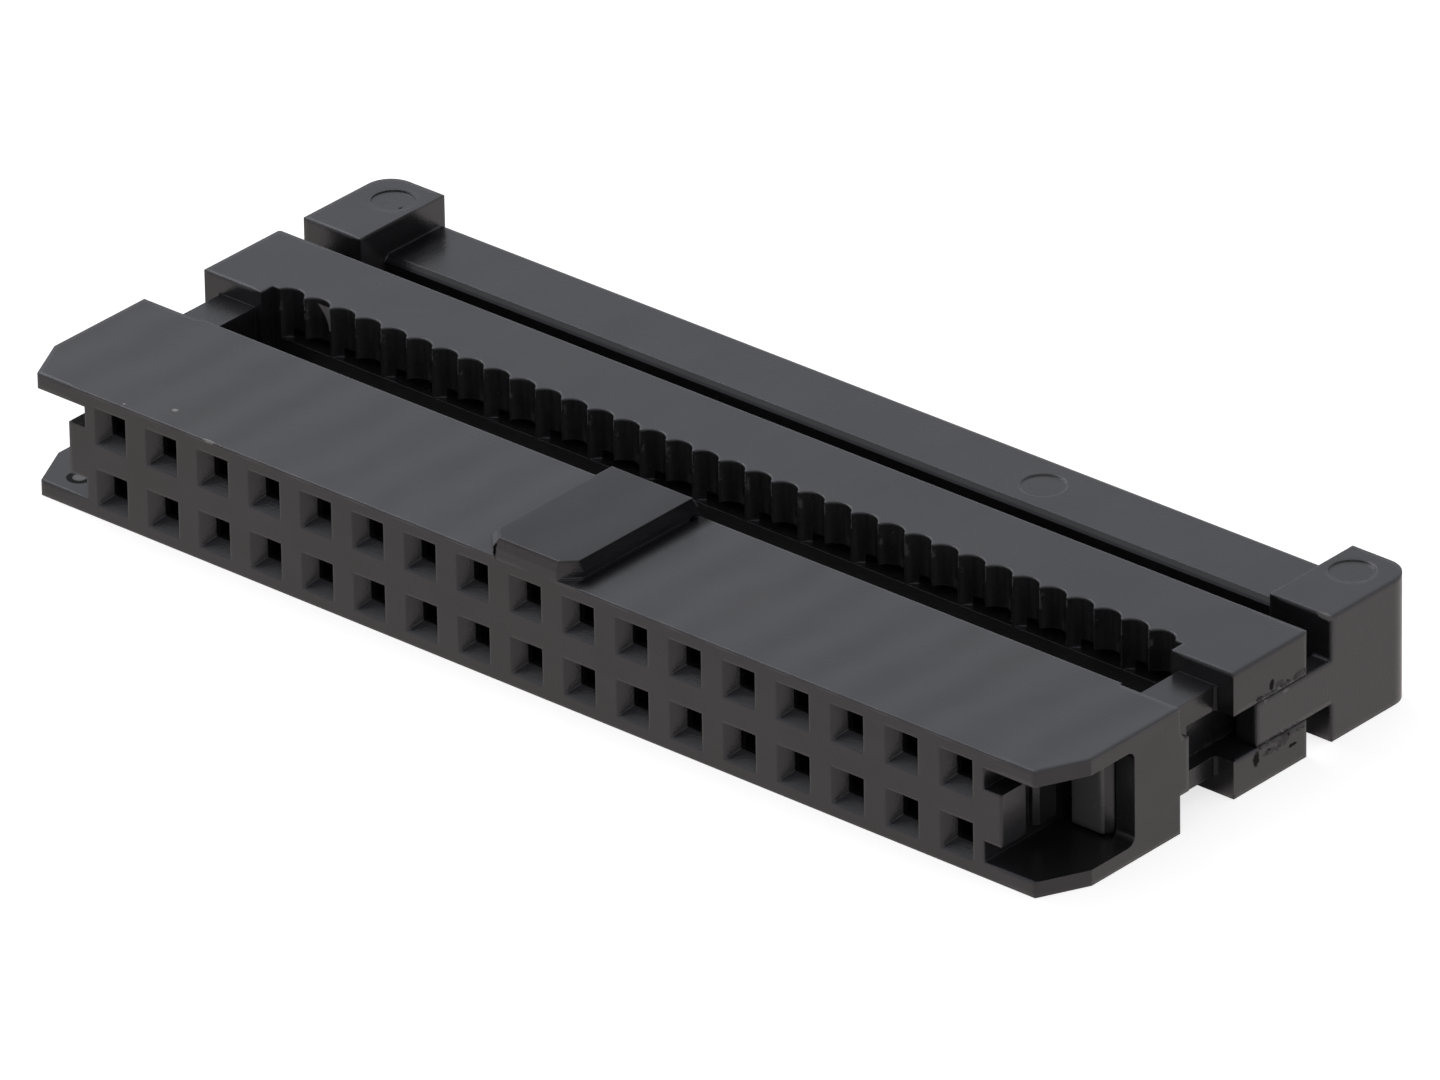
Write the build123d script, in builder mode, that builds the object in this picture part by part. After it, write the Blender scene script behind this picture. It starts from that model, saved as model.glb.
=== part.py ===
from build123d import *
import os

# Insulation displacement connector for flat ribbon cable: 34 ways in two rows at 2 mm pitch.
# It lies on its broad side. X runs along the rows, Y from the mating face to the cable end,
# and Z through the thickness. The origin is the centre of the mating face. The cover and the
# strain relief stand open, as delivered, before a cable is pressed in.
# All sizes are in millimetres.

# Contact field
columns = 17
pitch = 2.0
row_pitch = 2.0
conductor_pitch = 1.0

# Clearances
leg_clearance = 0.08
arm_clearance = 0.05
contact_clearance = 0.03
blade_clearance = 0.04

# Housing
body_height = 4.0
housing_depth = 5.50
wing_reach = 2.6
wing_rear_step = 0.10
nose_cut_width = 0.76
nose_cut_depth = 1.55
plate_thickness = 0.50
end_wall_thickness = 0.68
end_wall_front = 3.43
rail_width = 0.42
rail_front = 3.95
recess_radius = 0.30
tab_low = -0.79
tab_high = 0.95
tab_reach = 0.38
tab_bevel_rise = 0.30
tab_bevel_reach = 0.18
stub_width = 0.64
stub_depth = 1.05
stub_height = 1.64
catch_front = 1.90
catch_length = 0.86
catch_rise = 0.30
catch_bevel = 0.14
catch_height = 2.16

# Socket mouths and contact chambers
mouth_width = 1.20
mouth_depth = 0.42
throat_width = 0.62
throat_length = 0.20
chamber_width = 1.16
chamber_floor_gap = 0.40
chamber_roof = 0.42
blade_seat_length = 1.00

# Polarising key
key_width = 3.50
key_height = 0.50
key_corner = 0.54
key_edge = 0.22

# Contacts
strip_thickness = 0.20
contact_width = 1.00
base_front = 3.20
wall_rear = 4.30
wall_height = 0.90
beam_low = 0.26
beam_high = 0.82
beam_front = 1.60
beam_touch_y = 2.10
beam_touch_gap = 0.40
beam_tip_gap = 0.68
blade_width = 1.36
blade_front = 4.55
blade_tip = 7.00
blade_point = 0.34
slot_offset = 0.46
slot_width = 0.20
slot_bottom = 5.10
slot_mouth_depth = 0.30

# Cover
cover_end_step = 0.10
cover_depth = 3.28
cover_stand_off = 2.37
cable_side_room = 0.25
cable_recess_depth = 0.51
groove_depth = 0.30
groove_land = 0.06
opening_depth = 1.12
cover_corner_radius = 0.10
leg_tip = 3.20
leg_tip_chamfer = 0.26
leg_root_radius = 0.15
leg_pocket_depth = 0.52
leg_pocket_length = 1.27
barb_rise = 0.16
barb_length = 0.55

# Strain relief and the grooves that take its arms
clamp_stand_off = 1.05
clamp_depth = 3.70
block_corner_radius = 0.85
bar_set_back = 1.02
bar_height = 2.10
bar_bevel = 0.18
bar_radius = 0.22
arm_thickness = 0.65
arm_height = 1.36
arm_drop = 0.08
arm_reach = 3.30
hook_rise = 0.12
hook_length = 0.50
hook_ledge = 0.20
mark_radius = 0.68
mark_depth = 0.04
block_mark_inset = 1.30
block_mark_set_back = 1.20
bar_mark_x = 6.97
bar_mark_set_back = 1.40

# Places worked out from the sizes above
half_height = body_height / 2
row_z = row_pitch / 2
core_half = columns * pitch / 2
housing_half = core_half + wing_reach
cover_half_length = housing_half - cover_end_step
cable_recess_half = core_half + cable_side_room
recess_half_height = half_height - plate_thickness
slot_inner = core_half + rail_width
slot_outer = housing_half - end_wall_thickness
wing_rear = housing_depth - wing_rear_step
leg_inner = slot_inner + leg_clearance
leg_outer = slot_outer - leg_clearance
leg_half_height = recess_half_height - leg_clearance
chamber_front = mouth_depth + throat_length
chamber_high = row_z + chamber_roof
strip_low = chamber_floor_gap + contact_clearance
strip_high = strip_low + strip_thickness
seat_width = blade_width + 2 * contact_clearance
opening_low = strip_low - blade_clearance
opening_high = strip_high + blade_clearance
opening_width = blade_width + 2 * blade_clearance
cover_front = housing_depth + cover_stand_off
cover_rear = cover_front + cover_depth
cable_face = cover_front + cable_recess_depth
groove_radius = ((conductor_pitch - groove_land) ** 2 / 4 + groove_depth**2) / (2 * groove_depth)
clamp_front = cover_rear + clamp_stand_off
clamp_rear = clamp_front + clamp_depth
bar_front = clamp_front + bar_set_back
arm_inner = cover_half_length - arm_thickness
arm_tip = clamp_front - arm_reach
end_groove_floor = arm_inner - arm_clearance
end_groove_half_height = arm_height / 2 + arm_clearance
pocket_floor = leg_outer - leg_pocket_depth
pocket_front = cover_front - leg_pocket_length
pocket_rear = arm_tip + hook_length + hook_ledge

# A little more than nothing: how far a cut runs on into free space, or a boss into its wall
past = 0.5


def facing_rear(y):
    """A plane across the part at a given Y, looking at the cable end, with its own y down."""
    return Plane(origin=(0, y, 0), x_dir=(1, 0, 0), z_dir=(0, 1, 0))


# Each column has a place for the upper row and one, turned half a turn about Y, for the lower.
column_x = [(number - (columns - 1) / 2) * pitch for number in range(columns)]
places = []
for x in column_x:
    places.append(Location((x, 0, 0)))
    places.append(Location((x, 0, 0), (0, 180, 0)))

# The space for one contact of the upper row, with its column at X = 0: a mouth that tapers to
# a square throat, the chamber of the spring beams, and the wider seat of the blade.
with BuildPart() as chamber:
    with BuildSketch(facing_rear(-past)):
        with Locations((0, -row_z)):
            Rectangle(mouth_width, mouth_width)
    extrude(amount=past + mouth_depth)
    mouth_end = faces().sort_by(Axis.Y)[-1]
    chamfer(mouth_end.edges(), (mouth_width - throat_width) / 2, mouth_depth, reference=mouth_end)
    with BuildSketch(facing_rear(mouth_depth)):
        with Locations((0, -row_z)):
            Rectangle(throat_width, throat_width)
    extrude(amount=throat_length)
    with BuildSketch(facing_rear(chamber_front)):
        with Locations((0, -(chamber_floor_gap + chamber_high) / 2)):
            Rectangle(chamber_width, chamber_high - chamber_floor_gap)
    extrude(amount=housing_depth + past - chamber_front)
    with BuildSketch(facing_rear(housing_depth - blade_seat_length)):
        with Locations((0, -(chamber_floor_gap + strip_high + contact_clearance) / 2)):
            Rectangle(seat_width, strip_high + contact_clearance - chamber_floor_gap)
    extrude(amount=blade_seat_length + past)

# Housing: the block with the sockets, and at each end two plates and a wall around the slot
# of the cover's leg.
with BuildPart() as housing:
    with BuildSketch():
        with BuildLine():
            Polyline(
                (-slot_inner, housing_depth),
                (-slot_inner, wing_rear),
                (-housing_half, wing_rear),
                (-housing_half, nose_cut_depth),
                (-housing_half + nose_cut_width, 0),
                (housing_half - nose_cut_width, 0),
                (housing_half, nose_cut_depth),
                (housing_half, wing_rear),
                (slot_inner, wing_rear),
                (slot_inner, housing_depth),
                close=True,
            )
        make_face()
    extrude(amount=half_height, both=True)
    for side in (-1, 1):
        with BuildSketch():
            with BuildLine():
                Polyline(
                    (side * core_half, -past),
                    (side * (housing_half + past), -past),
                    (side * (housing_half + past), end_wall_front),
                    (side * slot_outer, end_wall_front),
                    (side * slot_outer, housing_depth + past),
                    (side * slot_inner, housing_depth + past),
                    (side * slot_inner, rail_front),
                    (side * core_half, rail_front),
                    close=True,
                )
            make_face()
        extrude(amount=recess_half_height, both=True, mode=Mode.SUBTRACT)
    # Small radii where the plates meet the front of the end walls
    fillet(edges().filter_by(Axis.X).group_by(Axis.Y)[1], recess_radius)
    for side in (-1, 1):
        # The stub at the front face and the catch that the leg's barb rides past
        with BuildSketch():
            with Locations((side * (core_half + (stub_width - past) / 2), stub_depth / 2)):
                Rectangle(stub_width + past, stub_depth)
        extrude(amount=stub_height / 2, both=True)
        with BuildSketch():
            with BuildLine():
                Polyline(
                    (side * (core_half - past), catch_front),
                    (side * (core_half + catch_rise - catch_bevel), catch_front),
                    (side * (core_half + catch_rise), catch_front + catch_bevel),
                    (side * (core_half + catch_rise), catch_front + catch_length),
                    (side * (core_half - past), catch_front + catch_length),
                    close=True,
                )
            make_face()
        extrude(amount=catch_height / 2, both=True)
        # The tab that the cover's front face comes home against, bevelled on top
        with BuildSketch(Plane.YZ.offset(side * housing_half)):
            with BuildLine():
                Polyline(
                    (wing_rear - past, tab_low),
                    (wing_rear + tab_reach, tab_low),
                    (wing_rear + tab_reach, tab_high),
                    (wing_rear + tab_reach - tab_bevel_reach, tab_high),
                    (wing_rear, tab_high + tab_bevel_rise),
                    (wing_rear - past, tab_high + tab_bevel_rise),
                    close=True,
                )
            make_face()
        extrude(amount=-side * end_wall_thickness)
    # The key stands on top, with its front corners cut off in plan and its top edges bevelled.
    with BuildSketch(Plane.XY.offset(half_height - plate_thickness)):
        with BuildLine():
            Polyline(
                (-key_width / 2, housing_depth),
                (-key_width / 2, key_corner),
                (-key_width / 2 + key_corner, 0),
                (key_width / 2 - key_corner, 0),
                (key_width / 2, key_corner),
                (key_width / 2, housing_depth),
                close=True,
            )
        make_face()
    extrude(amount=plate_thickness + key_height)
    key_rim = edges().group_by(Axis.Z)[-1]
    chamfer(key_rim.filter_by(lambda edge: edge.center().Y < housing_depth), key_edge)
    with Locations(*places):
        add(chamber.part, mode=Mode.SUBTRACT)
housing.part.label = "housing"

# Cover: pressed towards the housing, it pushes each conductor of the cable onto its blade.
with BuildPart() as cover:
    with BuildSketch():
        with Locations((0, (cover_front + cover_rear) / 2)):
            Rectangle(2 * cover_half_length, cover_depth)
        fillet(vertices().group_by(Axis.Y)[-1], cover_corner_radius)
    extrude(amount=half_height, both=True)
    with BuildSketch():
        with Locations((0, cover_front)):
            Rectangle(2 * cable_recess_half, 2 * cable_recess_depth)
    extrude(amount=half_height, both=True, mode=Mode.SUBTRACT)
    # A groove for each conductor above and below the smooth land between the two rows
    for side in (-1, 1):
        with BuildSketch(Plane.XY.offset(side * opening_low)):
            with Locations((0, cable_face + groove_depth - groove_radius)):
                with GridLocations(conductor_pitch, 1, 2 * columns, 1):
                    Circle(groove_radius)
        extrude(amount=side * (half_height - opening_low), mode=Mode.SUBTRACT)
        with BuildSketch(facing_rear(cable_face)):
            with Locations((0, side * (opening_low + opening_high) / 2)):
                with GridLocations(pitch, 1, columns, 1):
                    Rectangle(opening_width, opening_high - opening_low)
        extrude(amount=opening_depth, mode=Mode.SUBTRACT)
    # A leg at each end, with a barb at its tip, and the groove for the strain relief's arm
    for side in (-1, 1):
        with BuildSketch():
            with BuildLine():
                Polyline(
                    (side * leg_outer, leg_tip + leg_tip_chamfer),
                    (side * (leg_outer - leg_tip_chamfer), leg_tip),
                    (side * leg_inner, leg_tip),
                    (side * (leg_inner - barb_rise), leg_tip + barb_rise),
                    (side * (leg_inner - barb_rise), leg_tip + barb_length),
                    (side * leg_inner, leg_tip + barb_length),
                    (side * leg_inner, cover_front + past),
                    (side * (leg_outer + 2 * leg_root_radius), cover_front + past),
                    (side * (leg_outer + 2 * leg_root_radius), cover_front),
                    (side * leg_outer, cover_front),
                    close=True,
                )
            make_face()
            leg_root = vertices().sort_by_distance((side * leg_outer, cover_front))[0]
            fillet(leg_root, leg_root_radius)
        extrude(amount=leg_half_height, both=True)
        with BuildSketch(Plane.XY.offset(-arm_drop)):
            with BuildLine():
                Polyline(
                    (side * (cover_half_length + past), pocket_front),
                    (side * pocket_floor, pocket_front),
                    (side * pocket_floor, pocket_rear),
                    (side * end_groove_floor, pocket_rear),
                    (side * end_groove_floor, cover_rear + past),
                    (side * (cover_half_length + past), cover_rear + past),
                    close=True,
                )
            make_face()
        extrude(amount=end_groove_half_height, both=True, mode=Mode.SUBTRACT)
cover.part.label = "cover"

# Strain relief: the cable folds over the back of the cover and lies under this bar.
with BuildPart() as strain_relief:
    for side in (-1, 1):
        with BuildSketch():
            block_x = side * (cover_half_length + cable_recess_half) / 2
            with Locations((block_x, (clamp_front + clamp_rear) / 2)):
                Rectangle(cover_half_length - cable_recess_half, clamp_depth)
            rear_corners = vertices().group_by(Axis.Y)[-1]
            fillet(rear_corners.sort_by(lambda corner: abs(corner.X))[-1], block_corner_radius)
        extrude(amount=half_height, both=True)
        with BuildSketch(Plane.XY.offset(-arm_drop)):
            with BuildLine():
                Polyline(
                    (side * cover_half_length, clamp_front + past),
                    (side * cover_half_length, arm_tip),
                    (side * (arm_inner - hook_rise), arm_tip),
                    (side * (arm_inner - hook_rise), arm_tip + hook_length),
                    (side * arm_inner, arm_tip + hook_length),
                    (side * arm_inner, clamp_front + past),
                    close=True,
                )
            make_face()
        extrude(amount=arm_height / 2, both=True)
        with BuildSketch(Plane.XY.offset(half_height)):
            mark_x = side * (cover_half_length - block_mark_inset)
            with Locations((mark_x, clamp_rear - block_mark_set_back)):
                Circle(mark_radius)
        extrude(amount=-mark_depth, mode=Mode.SUBTRACT)
    with BuildSketch(Plane.YZ):
        with Locations(((bar_front + clamp_rear) / 2, 0)):
            Rectangle(clamp_rear - bar_front, bar_height)
        chamfer(vertices().group_by(Axis.X)[0], bar_bevel)
        fillet(vertices().group_by(Axis.X)[-1], bar_radius)
    extrude(amount=cable_recess_half + past, both=True)
    with BuildSketch(Plane.XY.offset(bar_height / 2)):
        with Locations((bar_mark_x, clamp_rear - bar_mark_set_back)):
            Circle(mark_radius)
    extrude(amount=-mark_depth, mode=Mode.SUBTRACT)
strain_relief.part.label = "strain_relief"

# One contact of the upper row, with its column at X = 0, stamped and folded from thin strip:
# a blade that pierces the cable, a trough held in the housing, and two beams for the pin.
with BuildPart() as contact_shape:
    # The flat strip, from the trough's floor to the slotted blade with its two points
    with BuildSketch(Plane.XY.offset(strip_low)):
        with BuildLine():
            slot_left = -slot_offset - slot_width / 2
            slot_right = -slot_offset + slot_width / 2
            mouth_right = slot_right + slot_mouth_depth
            Polyline(
                (-contact_width / 2, base_front),
                (contact_width / 2, base_front),
                (contact_width / 2, blade_front),
                (blade_width / 2, blade_front),
                (blade_width / 2, blade_tip - blade_point),
                (blade_width / 2 - blade_point, blade_tip),
                (mouth_right + blade_point / 2, blade_tip),
                (slot_right, blade_tip - slot_mouth_depth - blade_point / 2),
                (slot_right, slot_bottom),
                (slot_left, slot_bottom),
                (slot_left, blade_tip - blade_point),
                (slot_left - contact_clearance, blade_tip),
                (-blade_width / 2, blade_tip - blade_point),
                (-blade_width / 2, blade_front),
                (-contact_width / 2, blade_front),
                close=True,
            )
        make_face()
    extrude(amount=strip_thickness)
    for side in (-1, 1):
        # A folded wall of the trough, and the beam that runs on from it towards the mouth
        wall_x = side * (contact_width - strip_thickness) / 2
        with BuildSketch(Plane.XY.offset(strip_low)):
            with Locations((wall_x, (base_front + wall_rear) / 2)):
                Rectangle(strip_thickness, wall_rear - base_front)
        extrude(amount=wall_height)
        with BuildSketch(Plane.XY.offset(strip_low + beam_low)):
            with BuildLine():
                Polyline(
                    (side * contact_width / 2, base_front),
                    (side * (beam_touch_gap / 2 + strip_thickness), beam_touch_y),
                    (side * (beam_tip_gap / 2 + strip_thickness), beam_front),
                    (side * beam_tip_gap / 2, beam_front),
                    (side * beam_touch_gap / 2, beam_touch_y),
                    (side * (contact_width / 2 - strip_thickness), base_front),
                    close=True,
                )
            make_face()
        extrude(amount=beam_high - beam_low)

os.makedirs("parts", exist_ok=True)
export_step(housing.part, "parts/housing.step")
export_step(cover.part, "parts/cover.step")
export_step(strain_relief.part, "parts/strain_relief.step")

# The contacts are numbered along the cable, two to a column.
for number, place in enumerate(places, start=1):
    with BuildPart() as contact:
        with Locations(place):
            add(contact_shape.part)
    contact.part.label = f"contact_{number:02d}"
    export_step(contact.part, f"parts/contact_{number:02d}.step")
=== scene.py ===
# %% [markdown]
# # A ribbon cable connector in black plastic
# The real object is an insulation displacement connector: a housing with two rows of square
# sockets, a cover that presses a flat cable onto slotted blades, and a strain relief that
# clamps the cable behind. The solids are made elsewhere, at their true size, and come in here
# as a fixed frame. This lesson gives them their finish, adds what is too small for the solids,
# and sets up a photograph of them.

import math

import bpy
from mathutils import Matrix, Vector


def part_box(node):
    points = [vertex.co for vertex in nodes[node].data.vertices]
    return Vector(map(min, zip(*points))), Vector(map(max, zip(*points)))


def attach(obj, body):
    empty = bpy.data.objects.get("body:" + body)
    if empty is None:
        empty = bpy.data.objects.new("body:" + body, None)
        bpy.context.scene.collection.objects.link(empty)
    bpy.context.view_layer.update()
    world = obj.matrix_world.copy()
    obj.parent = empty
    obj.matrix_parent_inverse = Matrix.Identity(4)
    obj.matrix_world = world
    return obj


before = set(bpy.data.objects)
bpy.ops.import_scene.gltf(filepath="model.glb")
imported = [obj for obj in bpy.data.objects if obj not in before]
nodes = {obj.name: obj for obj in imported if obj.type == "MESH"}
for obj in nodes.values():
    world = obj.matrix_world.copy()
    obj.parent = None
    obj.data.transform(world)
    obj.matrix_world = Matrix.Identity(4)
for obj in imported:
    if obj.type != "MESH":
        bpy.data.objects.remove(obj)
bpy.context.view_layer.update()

# %% [markdown]
# ## Sizes
# Blender works in metres and the connector is measured in millimetres, so every place below is
# written in millimetres and turned into metres where a mesh needs it. The outer sizes are read
# from the frame. The places of marks are written down, because nothing else tells them.

# %% Sizes of the three mouldings
MM = 0.001


def box_mm(node):
    """The lowest and highest corner of a solid, in millimetres."""
    low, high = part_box(node)
    return Vector(low) / MM, Vector(high) / MM


housing_low, housing_high = box_mm("housing")
cover_low, cover_high = box_mm("cover")
clamp_low, clamp_high = box_mm("strain_relief")
floor_z = housing_low.z
plate_top = 2.0
print("housing", housing_low, housing_high)
print("cover", cover_low, cover_high)
print("strain relief", clamp_low, clamp_high)

# %% [markdown]
# ## Writing a material as a sum
# A node tree is easier to read as arithmetic. The class below wraps one socket of a tree, so
# that `1 - mask` or `noise * 0.5` adds the Math node that works it out. Any other node comes
# from one method of a small tree class, which sets the node's own settings first and then
# fills its sockets with numbers or with links.


# %% A socket that takes part in sums
class Socket:
    """One output of a node, which can stand in a sum."""

    def __init__(self, tree, out):
        self.tree = tree
        self.out = out

    def maths(self, operation, *others):
        return self.tree.node("Math", {"operation": operation}, [self, *others])

    def __add__(self, other):
        return self.maths("ADD", other)

    def __radd__(self, other):
        return self.maths("ADD", other)

    def __sub__(self, other):
        return self.maths("SUBTRACT", other)

    def __rsub__(self, other):
        return self.tree.node("Math", {"operation": "SUBTRACT"}, [other, self])

    def __mul__(self, other):
        return self.maths("MULTIPLY", other)

    def __rmul__(self, other):
        return self.maths("MULTIPLY", other)

    def __truediv__(self, other):
        return self.maths("DIVIDE", other)

    def __abs__(self):
        return self.maths("ABSOLUTE")

    def larger(self, other):
        return self.maths("MAXIMUM", other)


# %% A tree of nodes
class Tree:
    """A node tree of any kind, whose nodes all share the first part of their type's name."""

    prefix = "ShaderNode"

    def fill(self, socket, value):
        """Puts a number, a tuple or a link on an input."""
        if isinstance(value, Socket):
            self.links.new(value.out, socket)
        else:
            socket.default_value = value

    def node(self, kind, settings=None, inputs=None, out=0):
        """Adds a node, with its settings first, and gives one of its outputs."""
        made = self.nodes.new(kind if "Node" in kind else self.prefix + kind)
        for name, value in (settings or {}).items():
            setattr(made, name, value)
        pairs = inputs.items() if isinstance(inputs, dict) else enumerate(inputs or [])
        for key, value in pairs:
            self.fill(made.inputs[key], value)
        return Socket(self, made.outputs[out])

    def vector(self, operation, *vectors, out=0):
        """A sum with vectors."""
        return self.node("ShaderNodeVectorMath", {"operation": operation}, vectors, out)

    def scaled(self, vector, share):
        """A vector times a number."""
        inputs = {0: vector, "Scale": share}
        return self.node("ShaderNodeVectorMath", {"operation": "SCALE"}, inputs)


# %% A material's tree
class Finish(Tree):
    """The node tree of one material, with its Principled shader."""

    def __init__(self, name):
        self.material = bpy.data.materials.new(name)
        self.material.use_nodes = True
        self.nodes = self.material.node_tree.nodes
        self.links = self.material.node_tree.links
        self.shader = self.nodes["Principled BSDF"]

    def rise(self, value, start, end):
        """Rises smoothly from 0 at start to 1 at end."""
        settings = {"interpolation_type": "SMOOTHSTEP"}
        inputs = {"Value": value, "From Min": start, "From Max": end}
        return self.node("MapRange", settings, inputs)

    def fall(self, value, start, end):
        """Falls smoothly from 1 at start to 0 at end."""
        return 1 - self.rise(value, start, end)

    def near(self, value, centre, half, soft=0.03):
        """1 within half of a centre, falling to 0 over a soft margin."""
        return self.fall(abs(value - centre), half, half + soft)

    def mix(self, share, low, high):
        """A colour between two others."""
        inputs = {"Factor": share, 6: low, 7: high}
        return self.node("Mix", {"data_type": "RGBA"}, inputs, 2)

    def blend(self, share, low, high):
        """A vector between two others."""
        inputs = {"Factor": share, 4: low, 5: high}
        return self.node("Mix", {"data_type": "VECTOR"}, inputs, 1)

    def apart(self, vector):
        """The three numbers of a vector."""
        made = self.node("SeparateXYZ", {}, [vector])
        return [Socket(self, made.out.node.outputs[axis]) for axis in range(3)]

    def places(self):
        """The surface's own place in millimetres, as a vector and as three numbers."""
        place = self.scaled(self.node("TexCoord", out="Object"), 1 / MM)
        return place, *self.apart(place)

    def flat_normal(self):
        """The mesh's own normal."""
        return self.node("NewGeometry", out="True Normal")

    def noise(self, place, size, detail=2.0, rough=0.5, seed=0.0):
        """Noise from 0 to 1 whose blotches are about size millimetres across."""
        moved = self.vector("ADD", place, (seed, seed * 1.7, -seed))
        inputs = {"Vector": moved, "Scale": 1 / size, "Detail": detail, "Roughness": rough}
        return self.node("TexNoise", {"noise_dimensions": "3D"}, inputs)

    def bump(self, height, strength, **inputs):
        """A normal that follows a height in millimetres."""
        inputs = {"Strength": strength, "Distance": MM, "Height": height, **inputs}
        return self.node("Bump", {}, inputs)

    def set(self, **inputs):
        """Fills sockets of the Principled shader, with underscores for spaces."""
        for name, value in inputs.items():
            self.fill(self.shader.inputs[name.replace("_", " ")], value)


print("shader helpers ready")

# %% [markdown]
# ## Black moulded plastic
# The mouldings are glass filled polyester in black. The plastic itself is very dark: the greys
# of the photograph are the sheen of its skin, which mirrors the white tent around it, more on
# the tops that are seen at a slant and less on the front. So the colour is nearly black, the
# roughness is moderate, and the deep places go dark by themselves, because there the skin
# mirrors other dark walls. Over that lie soft flow marks, a fine grain from the eroded mould,
# and edges a little paler, partly rubbed and partly a painted highlight along their rounding.
# One function makes it for all three mouldings, because they come from the same granules, and
# each adds the marks of its own piece.

# %% Values of the plastic
charcoal = (0.011, 0.011, 0.0122, 1)
charcoal_pale = (0.019, 0.019, 0.021, 1)
charcoal_warm = (0.016, 0.0145, 0.013, 1)
rubbed_and_edge_highlight = (0.060, 0.060, 0.063, 1)
painted_light_grey = (0.036, 0.036, 0.038, 1)
painted_highlight_grey = (0.115, 0.113, 0.110, 1)
dust_and_highlight = (0.30, 0.29, 0.28, 1)
pit_and_shade_black = (0.004, 0.004, 0.005, 1)
pit_and_shade_roughness = 0.9
plastic_ior = 1.54
plastic_roughness = 0.25
plastic_bump = 0.8
cloud_size = 0.9
cloud_roughness = 0.14
grain_size = 0.07
grain_height = 0.008
flow_size = 0.8
flow_stretch = (0.55, 0.30, 1.0)
flow_height = 0.012
flow_share = 0.65
tone_limits = (0.30, 0.70)
blotch_size = 4.5
warm_limits = (0.45, 0.75)
warm_share = 0.5
wear_size = 0.35
wear_limits = (0.35, 0.70)
edge_wear_and_highlight_share = 0.45
torn_gloss_drop = 0.3
print("plastic: flow marks", flow_size, "mm, grain", grain_size, "mm")

# %% [markdown]
# ## Edges that are not sharp
# The edges of a moulding are rounded by a tenth of a millimetre, and the noses at both ends by
# about a fifth. A Bevel modifier could round the mesh, but the solids must stay as they are, so
# the shader's own Bevel node bends the normal near an edge instead. The same bent normal,
# compared with the flat one, tells where an edge is, for the paler colour of the edges, which
# is rubbing and a painted highlight together. Inner corners are sharp, so each moulding says
# where its inner corners are, and the radius is small there.

# %% Rounded edges
edge_radius = 0.10
nose_radius = 0.22
nose_start = 17.4
nose_soft = 0.3
inner_radius = 0.025
rub_radius = 0.14
rub_start = 0.01
rub_full = 0.25
bevel_samples = 6


def rounded(tree, radius):
    """The normal as it would be with its edges rounded by a radius in millimetres."""
    return tree.node("Bevel", {"samples": bevel_samples}, {"Radius": radius * MM})


def edge_share(tree):
    """0 on a flat face, rising to 1 at an edge."""
    flat = tree.flat_normal()
    same = tree.vector("DOT_PRODUCT", flat, rounded(tree, rub_radius), out="Value")
    return tree.rise(1 - same, rub_start, rub_full)


print("edges", edge_radius, "mm, noses", nose_radius, "mm")


# %% The plastic's flow marks, grain, and edges paler from wear and painted highlight
def start_plastic(name):
    """A tree with the place, colour, height and edges with wear and painted highlight."""
    tree = Finish(name)
    place, x, y, z = tree.places()
    stretched = tree.vector("MULTIPLY", place, flow_stretch)
    flow = tree.noise(stretched, flow_size, detail=1.5, seed=3.1)
    blotch = tree.noise(place, blotch_size, seed=9.4)
    grain = tree.noise(place, grain_size, rough=0.6, seed=1.3)
    wear = tree.noise(place, wear_size, detail=3.0, rough=0.6, seed=5.7)
    tone = tree.rise(flow * flow_share + blotch * (1 - flow_share), *tone_limits)
    colour = tree.mix(tone, charcoal, charcoal_pale)
    colour = tree.mix(tree.rise(blotch, *warm_limits) * warm_share, colour, charcoal_warm)
    # Paler edges: partly wear, partly a painted highlight along their rounding.
    worn_and_highlit_edges = edge_share(tree) * tree.rise(wear, *wear_limits)
    height = grain * grain_height + flow * flow_height
    return tree, place, (x, y, z), colour, height, worn_and_highlit_edges


# %% The plastic's sheen and pits
def finish_plastic(tree, place, colour, height, gloss_drop, pits_and_painted_shade, inner, normal=None):
    """Connects a moulding's colour, roughness and height, and lets pits and painted shade go
    dark.
    """
    to_middle = abs(tree.apart(place)[0])
    at_nose = tree.rise(to_middle, nose_start, nose_start + nose_soft)
    radius = edge_radius + at_nose * (nose_radius - edge_radius)
    radius = radius * (1 - inner) + inner * inner_radius
    cloud = tree.noise(place, cloud_size, detail=3.0, rough=0.6, seed=12.0)
    roughness = plastic_roughness + (cloud - 0.5) * cloud_roughness + gloss_drop
    bent = rounded(tree, radius)
    if normal:
        bent = normal(bent)
    bump = tree.bump(height, plastic_bump, Normal=bent)
    tree.set(Base_Color=colour, Roughness=roughness, Normal=bump, IOR=plastic_ior)
    dull = {"Base Color": pit_and_shade_black, "Roughness": pit_and_shade_roughness, "Specular IOR Level": 0.0}
    pit_and_shade_shader = tree.node("BsdfPrincipled", {}, dull)
    skin = Socket(tree, tree.shader.outputs[0])
    both = tree.node("MixShader", {}, [pits_and_painted_shade, skin, pit_and_shade_shader])
    tree.links.new(both.out, tree.nodes["Material Output"].inputs[0])
    return tree.material


print("pits are", pit_and_shade_roughness, "rough, the skin", plastic_roughness)

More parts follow.
